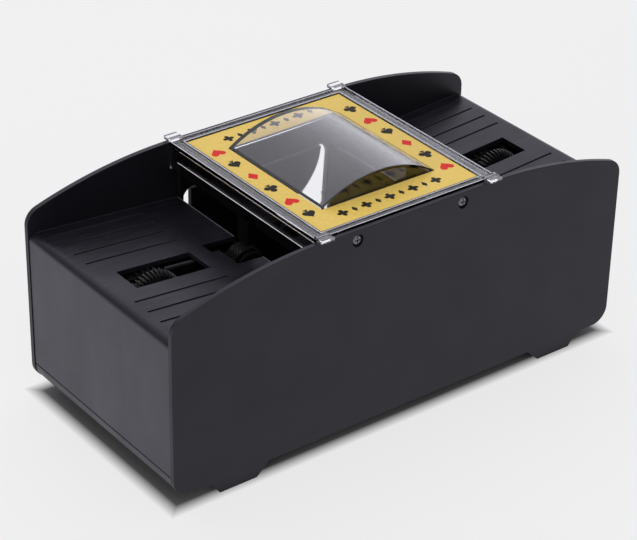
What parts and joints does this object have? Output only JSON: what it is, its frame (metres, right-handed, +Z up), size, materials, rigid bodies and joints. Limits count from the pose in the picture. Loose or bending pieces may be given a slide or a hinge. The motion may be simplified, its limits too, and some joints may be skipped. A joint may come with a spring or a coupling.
{
  "type": "automatic card shuffler",
  "caption": "Battery table-top card shuffler: two sloping trays with ribbed feed wheels and knurled exit rollers, clear windowed lid over a middle well, and a pull-out card drawer.",
  "frame": {"origin": "on the floor under the middle of the bounding box", "axes": "+X along the length, +Y towards the operator's side (drawer and button), +Z up"},
  "size_m": [0.205, 0.0976, 0.0954],
  "materials": {
    "black_plastic": "fine matte texture",
    "dark_plastic": "plain matte",
    "clear_plastic": "clear moulded plastic, polished",
    "label_card": "printed card",
    "black_rubber": "moulded rubber",
    "white_nylon": "moulded nylon",
    "steel": "bright steel",
    "cell_wrap": "printed plastic sleeve"
  },
  "bodies": {
    "housing": {"aa_cell_1": "cell_wrap", "aa_cell_2": "cell_wrap", "aa_cell_3": "cell_wrap", "aa_cell_4": "cell_wrap", "base_pan": "black_plastic", "battery_box": "black_plastic", "battery_contact_inner": "steel", "battery_contact_outer": "steel", "button_spring": "steel", "card_gate_left": "dark_plastic", "card_gate_right": "dark_plastic", "card_well": "dark_plastic", "drive_belt_left": "black_rubber", "drive_belt_right": "black_rubber", "drive_shaft_left": "steel", "drive_shaft_right": "steel", "front_panel": "black_plastic", "front_screw_left": "steel", "front_screw_right": "steel", "gearbox_frame_left": "dark_plastic", "gearbox_frame_right": "dark_plastic", "motor_left": "steel", "motor_right": "steel", "power_switch": "dark_plastic", "rear_panel": "black_plastic", "rear_screw_left": "steel", "rear_screw_right": "steel", "retard_pad_left": "black_rubber", "retard_pad_right": "black_rubber", "tray_shell_left": "black_plastic", "tray_shell_right": "black_plastic"},
    "lid_body": {"lid": "clear_plastic", "label_insert": "label_card"},
    "drawer_body": {"card_drawer": "black_plastic"},
    "button_body": {"power_button": "black_plastic"},
    "door_body": {"battery_door": "black_plastic"},
    "feed_wheel_body_left": {"feed_tyre_left": "black_rubber", "feed_hub_left": "white_nylon", "feed_axle_left": "steel", "feed_gear_left": "white_nylon"},
    "exit_roller_body_left": {"exit_tyre_left": "black_rubber", "exit_hub_left": "dark_plastic", "exit_axle_left": "steel"},
    "drive_gear_body_left": {"drive_gear_left": "white_nylon"},
    "pinion_body_left": {"motor_pinion_left": "white_nylon", "motor_shaft_left": "steel"},
    "feed_wheel_body_right": {"feed_tyre_right": "black_rubber", "feed_hub_right": "white_nylon", "feed_axle_right": "steel", "feed_gear_right": "white_nylon"},
    "exit_roller_body_right": {"exit_tyre_right": "black_rubber", "exit_hub_right": "dark_plastic", "exit_axle_right": "steel"},
    "drive_gear_body_right": {"drive_gear_right": "white_nylon"},
    "pinion_body_right": {"motor_pinion_right": "white_nylon", "motor_shaft_right": "steel"}
  },
  "joints": [
    {"name": "lid_lift", "type": "slide", "parent": "housing", "child": "lid_body", "axis": [0, 0, 1], "range_m": [0, 0.06]},
    {"name": "drawer_slide", "type": "slide", "parent": "housing", "child": "drawer_body", "axis": [0, 1, 0], "range_m": [0, 0.07]},
    {"name": "button_press", "type": "slide", "parent": "housing", "child": "button_body", "axis": [0, -1, 0], "range_m": [0, 0.0015], "stiffness_N_per_m": 800, "springref_m": -0.0005},
    {"name": "door_release", "type": "slide", "parent": "housing", "child": "door_body", "axis": [0, 0, -1], "range_m": [0, 0.0045]},
    {"name": "feed_turn_left", "type": "hinge", "parent": "housing", "child": "feed_wheel_body_left", "pos_m": [-0.08, 0, 0.0554], "axis": [0, 1, 0], "continuous": true},
    {"name": "exit_turn_left", "type": "hinge", "parent": "housing", "child": "exit_roller_body_left", "pos_m": [-0.0405, 0, 0.0584], "axis": [0, 1, 0], "continuous": true},
    {"name": "drive_turn_left", "type": "hinge", "parent": "housing", "child": "drive_gear_body_left", "pos_m": [-0.074, 0, 0.045], "axis": [0, 1, 0], "continuous": true},
    {"name": "motor_turn_left", "type": "hinge", "parent": "housing", "child": "pinion_body_left", "pos_m": [-0.05645, 0, 0.041], "axis": [0, 1, 0], "continuous": true},
    {"name": "feed_turn_right", "type": "hinge", "parent": "housing", "child": "feed_wheel_body_right", "pos_m": [0.08, 0, 0.0554], "axis": [0, 1, 0], "continuous": true},
    {"name": "exit_turn_right", "type": "hinge", "parent": "housing", "child": "exit_roller_body_right", "pos_m": [0.0405, 0, 0.0584], "axis": [0, 1, 0], "continuous": true},
    {"name": "drive_turn_right", "type": "hinge", "parent": "housing", "child": "drive_gear_body_right", "pos_m": [0.074, 0, 0.045], "axis": [0, 1, 0], "continuous": true},
    {"name": "motor_turn_right", "type": "hinge", "parent": "housing", "child": "pinion_body_right", "pos_m": [0.05645, 0, 0.041], "axis": [0, 1, 0], "continuous": true}
  ],
  "couplings": [
    {"joint": "exit_turn_left", "follows": "feed_turn_left", "ratio": 2},
    {"joint": "drive_turn_left", "follows": "feed_turn_left", "ratio": -2},
    {"joint": "motor_turn_left", "follows": "feed_turn_left", "ratio": 8},
    {"joint": "exit_turn_right", "follows": "feed_turn_right", "ratio": 2},
    {"joint": "drive_turn_right", "follows": "feed_turn_right", "ratio": -2},
    {"joint": "motor_turn_right", "follows": "feed_turn_right", "ratio": 8}
  ]
}
